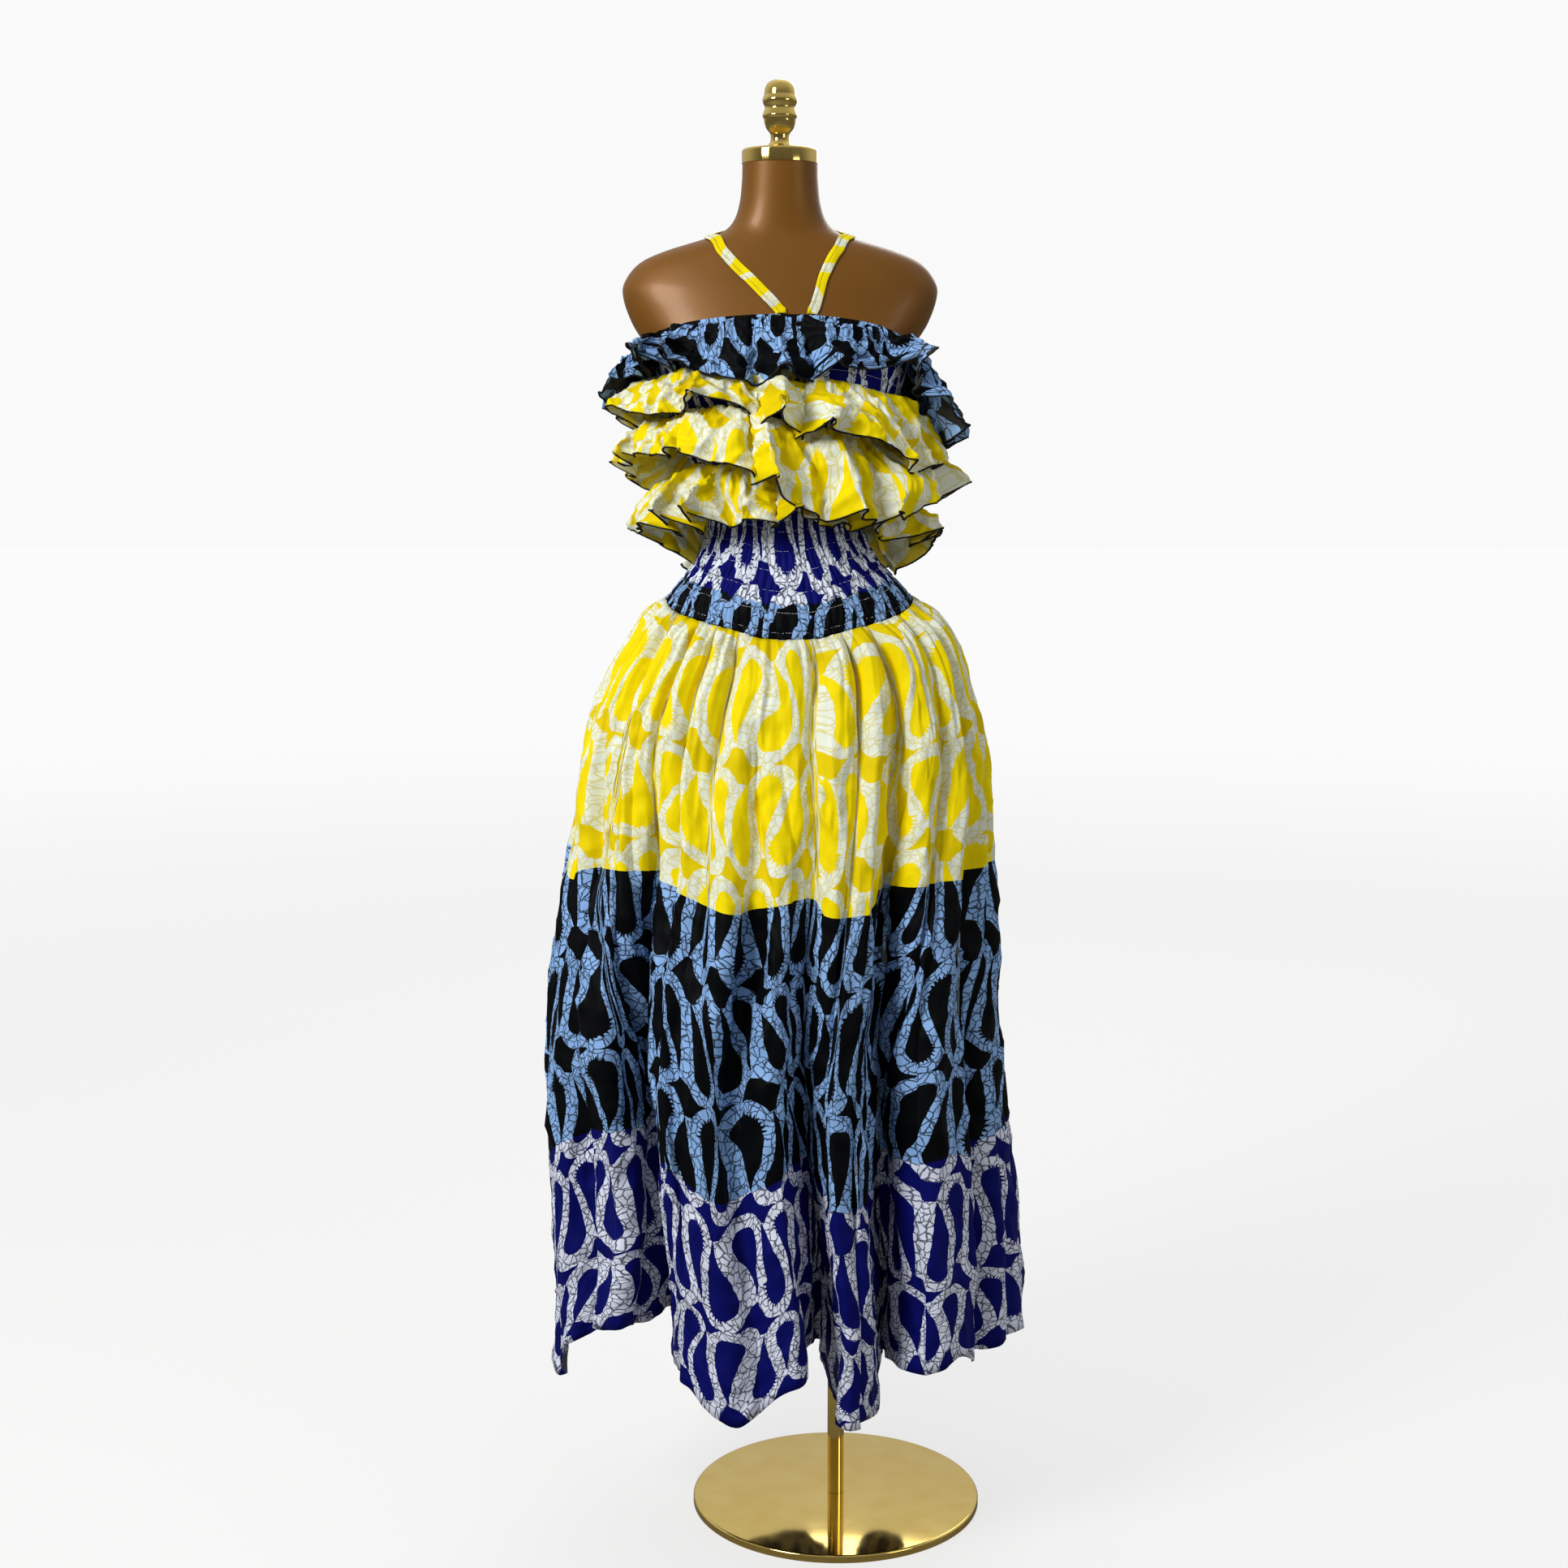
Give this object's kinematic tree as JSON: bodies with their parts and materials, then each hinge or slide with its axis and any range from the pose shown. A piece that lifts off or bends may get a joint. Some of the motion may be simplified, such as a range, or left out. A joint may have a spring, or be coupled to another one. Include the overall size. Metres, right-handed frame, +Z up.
{
  "type": "ruffled halter maxi dress on a limbless dress form and stand",
  "caption": "Long gathered dress with a halter neck, ruffled bodice and shirred waist, worn on a limbless dress form on a pole stand with a round base.",
  "frame": {"origin": "on the floor, the plane of the base's underside, straight below the middle of the form's neck", "axes": "+Z up, the front of the dress faces -Y, +X to the viewer's right when looking at the front"},
  "size_m": [0.6259, 0.554, 1.8413],
  "materials": {
    "bronze_paint": "satin bronze paint on a moulded form",
    "gold_plate": "polished gold plating",
    "yellow_print": "crisp printed cotton, yellow and white",
    "black_blue_print": "crisp printed cotton, black and light blue",
    "blue_white_print": "shirred printed cotton, royal blue and white",
    "band_print": "crisp printed cotton in three bands: yellow and white, black and light blue, royal blue and white"
  },
  "bodies": {
    "root": {"form_torso": "bronze_paint", "neck_cap": "gold_plate", "neck_finial": "gold_plate", "stand_pole": "gold_plate", "stand_base": "gold_plate", "smocked_front": "blue_white_print", "smocked_back": "blue_white_print", "skirt_front": "band_print", "skirt_back": "band_print", "ruffle_top": "black_blue_print", "ruffle_upper": "yellow_print", "ruffle_middle": "yellow_print", "ruffle_lower": "yellow_print", "strap_left": "yellow_print", "strap_right": "yellow_print"}
  },
  "joints": []
}
